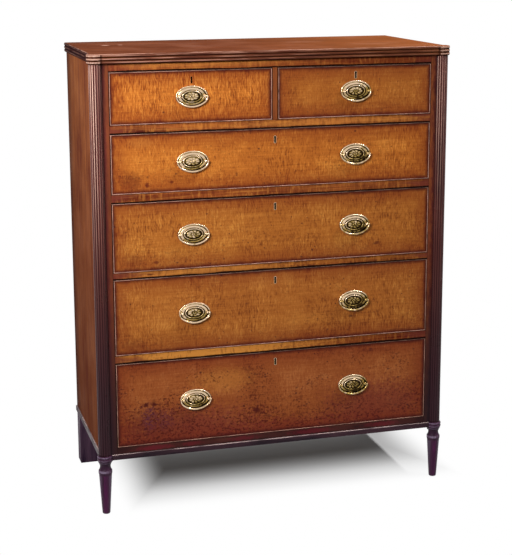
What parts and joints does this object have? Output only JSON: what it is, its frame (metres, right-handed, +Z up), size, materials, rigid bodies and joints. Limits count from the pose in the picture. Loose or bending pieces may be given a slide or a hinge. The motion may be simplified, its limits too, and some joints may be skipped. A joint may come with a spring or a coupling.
{
  "type": "tall chest of drawers",
  "caption": "Tall wooden chest: two small drawers over long graduated ones, cockbeaded fronts, reeded corner columns on turned legs, oval bail pulls and locks.",
  "frame": {"origin": "on the floor, under the middle of the whole chest, with every drawer shut and the bails hanging", "axes": "+Z up, +X to the right of someone facing the drawers, +Y from the drawers to the back"},
  "size_m": [1.102, 0.5256, 1.37],
  "materials": {
    "top_wood": "old french polish, satin",
    "case_wood": "old french polish, satin",
    "rail_wood": "old french polish, satin",
    "side_wood": "old french polish, satin",
    "column_wood": "old french polish, satin",
    "drawer_front_wood": "figured veneer, french polished",
    "cockbead_wood": "worn polish, satin",
    "drawer_lining_wood": "bare wood, matt",
    "inner_wood": "bare wood, matt",
    "old_brass": "cast and lacquered, dulled in the hollows",
    "lock_iron": "filed iron"
  },
  "bodies": {
    "case": {"top_board": "top_wood", "back_boards": "inner_wood", "stiles": "case_wood", "top_rail": "case_wood", "bottom_rail": "case_wood", "centre_divider": "case_wood", "base_moulding": "case_wood", "drawer_runners": "inner_wood", "drawer_stops": "inner_wood", "glue_blocks": "inner_wood", "drawer_rail_1": "rail_wood", "drawer_rail_2": "rail_wood", "drawer_rail_3": "rail_wood", "drawer_rail_4": "rail_wood", "left_side": "side_wood", "right_side": "side_wood", "left_front_post": "column_wood", "right_front_post": "column_wood", "left_rear_foot": "column_wood", "right_rear_foot": "column_wood"},
    "upper_left_drawer": {"upper_left_drawer_front": "drawer_front_wood", "upper_left_drawer_cockbead": "cockbead_wood", "upper_left_drawer_box": "drawer_lining_wood", "upper_left_drawer_brasses": "old_brass"},
    "upper_left_bolt": {"upper_left_drawer_bolt": "lock_iron"},
    "upper_left_bail": {"upper_left_drawer_bail": "old_brass"},
    "upper_right_drawer": {"upper_right_drawer_front": "drawer_front_wood", "upper_right_drawer_cockbead": "cockbead_wood", "upper_right_drawer_box": "drawer_lining_wood", "upper_right_drawer_brasses": "old_brass"},
    "upper_right_bolt": {"upper_right_drawer_bolt": "lock_iron"},
    "upper_right_bail": {"upper_right_drawer_bail": "old_brass"},
    "second_drawer": {"second_drawer_front": "drawer_front_wood", "second_drawer_cockbead": "cockbead_wood", "second_drawer_box": "drawer_lining_wood", "second_drawer_brasses": "old_brass"},
    "second_bolt": {"second_drawer_bolt": "lock_iron"},
    "second_left_bail": {"second_drawer_left_bail": "old_brass"},
    "second_right_bail": {"second_drawer_right_bail": "old_brass"},
    "third_drawer": {"third_drawer_front": "drawer_front_wood", "third_drawer_cockbead": "cockbead_wood", "third_drawer_box": "drawer_lining_wood", "third_drawer_brasses": "old_brass"},
    "third_bolt": {"third_drawer_bolt": "lock_iron"},
    "third_left_bail": {"third_drawer_left_bail": "old_brass"},
    "third_right_bail": {"third_drawer_right_bail": "old_brass"},
    "fourth_drawer": {"fourth_drawer_front": "drawer_front_wood", "fourth_drawer_cockbead": "cockbead_wood", "fourth_drawer_box": "drawer_lining_wood", "fourth_drawer_brasses": "old_brass"},
    "fourth_bolt": {"fourth_drawer_bolt": "lock_iron"},
    "fourth_left_bail": {"fourth_drawer_left_bail": "old_brass"},
    "fourth_right_bail": {"fourth_drawer_right_bail": "old_brass"},
    "bottom_drawer": {"bottom_drawer_front": "drawer_front_wood", "bottom_drawer_cockbead": "cockbead_wood", "bottom_drawer_box": "drawer_lining_wood", "bottom_drawer_brasses": "old_brass"},
    "bottom_bolt": {"bottom_drawer_bolt": "lock_iron"},
    "bottom_left_bail": {"bottom_drawer_left_bail": "old_brass"},
    "bottom_right_bail": {"bottom_drawer_right_bail": "old_brass"}
  },
  "joints": [
    {"name": "upper_left_drawer_slide", "type": "slide", "parent": "case", "child": "upper_left_drawer", "axis": [0, -1, 0], "range_m": [0, 0.36]},
    {"name": "upper_left_bolt_slide", "type": "slide", "parent": "upper_left_drawer", "child": "upper_left_bolt", "axis": [0, 0, 1], "range_m": [0, 0.008]},
    {"name": "upper_left_bail_swing", "type": "hinge", "parent": "upper_left_drawer", "child": "upper_left_bail", "pos_m": [-0.25, -0.2522, 1.2423], "axis": [-1, 0, 0], "range_deg": [0, 170]},
    {"name": "upper_right_drawer_slide", "type": "slide", "parent": "case", "child": "upper_right_drawer", "axis": [0, -1, 0], "range_m": [0, 0.36]},
    {"name": "upper_right_bolt_slide", "type": "slide", "parent": "upper_right_drawer", "child": "upper_right_bolt", "axis": [0, 0, 1], "range_m": [0, 0.008]},
    {"name": "upper_right_bail_swing", "type": "hinge", "parent": "upper_right_drawer", "child": "upper_right_bail", "pos_m": [0.25, -0.2522, 1.2423], "axis": [-1, 0, 0], "range_deg": [0, 170]},
    {"name": "second_drawer_slide", "type": "slide", "parent": "case", "child": "second_drawer", "axis": [0, -1, 0], "range_m": [0, 0.36]},
    {"name": "second_bolt_slide", "type": "slide", "parent": "second_drawer", "child": "second_bolt", "axis": [0, 0, 1], "range_m": [0, 0.008]},
    {"name": "second_left_bail_swing", "type": "hinge", "parent": "second_drawer", "child": "second_left_bail", "pos_m": [-0.25, -0.2522, 1.05375], "axis": [-1, 0, 0], "range_deg": [0, 170]},
    {"name": "second_right_bail_swing", "type": "hinge", "parent": "second_drawer", "child": "second_right_bail", "pos_m": [0.25, -0.2522, 1.05375], "axis": [-1, 0, 0], "range_deg": [0, 170]},
    {"name": "third_drawer_slide", "type": "slide", "parent": "case", "child": "third_drawer", "axis": [0, -1, 0], "range_m": [0, 0.36]},
    {"name": "third_bolt_slide", "type": "slide", "parent": "third_drawer", "child": "third_bolt", "axis": [0, 0, 1], "range_m": [0, 0.008]},
    {"name": "third_left_bail_swing", "type": "hinge", "parent": "third_drawer", "child": "third_left_bail", "pos_m": [-0.25, -0.2522, 0.83825], "axis": [-1, 0, 0], "range_deg": [0, 170]},
    {"name": "third_right_bail_swing", "type": "hinge", "parent": "third_drawer", "child": "third_right_bail", "pos_m": [0.25, -0.2522, 0.83825], "axis": [-1, 0, 0], "range_deg": [0, 170]},
    {"name": "fourth_drawer_slide", "type": "slide", "parent": "case", "child": "fourth_drawer", "axis": [0, -1, 0], "range_m": [0, 0.36]},
    {"name": "fourth_bolt_slide", "type": "slide", "parent": "fourth_drawer", "child": "fourth_bolt", "axis": [0, 0, 1], "range_m": [0, 0.008]},
    {"name": "fourth_left_bail_swing", "type": "hinge", "parent": "fourth_drawer", "child": "fourth_left_bail", "pos_m": [-0.25, -0.2522, 0.60085], "axis": [-1, 0, 0], "range_deg": [0, 170]},
    {"name": "fourth_right_bail_swing", "type": "hinge", "parent": "fourth_drawer", "child": "fourth_right_bail", "pos_m": [0.25, -0.2522, 0.60085], "axis": [-1, 0, 0], "range_deg": [0, 170]},
    {"name": "bottom_drawer_slide", "type": "slide", "parent": "case", "child": "bottom_drawer", "axis": [0, -1, 0], "range_m": [0, 0.36]},
    {"name": "bottom_bolt_slide", "type": "slide", "parent": "bottom_drawer", "child": "bottom_bolt", "axis": [0, 0, 1], "range_m": [0, 0.008]},
    {"name": "bottom_left_bail_swing", "type": "hinge", "parent": "bottom_drawer", "child": "bottom_left_bail", "pos_m": [-0.25, -0.2522, 0.33265], "axis": [-1, 0, 0], "range_deg": [0, 170]},
    {"name": "bottom_right_bail_swing", "type": "hinge", "parent": "bottom_drawer", "child": "bottom_right_bail", "pos_m": [0.25, -0.2522, 0.33265], "axis": [-1, 0, 0], "range_deg": [0, 170]}
  ]
}
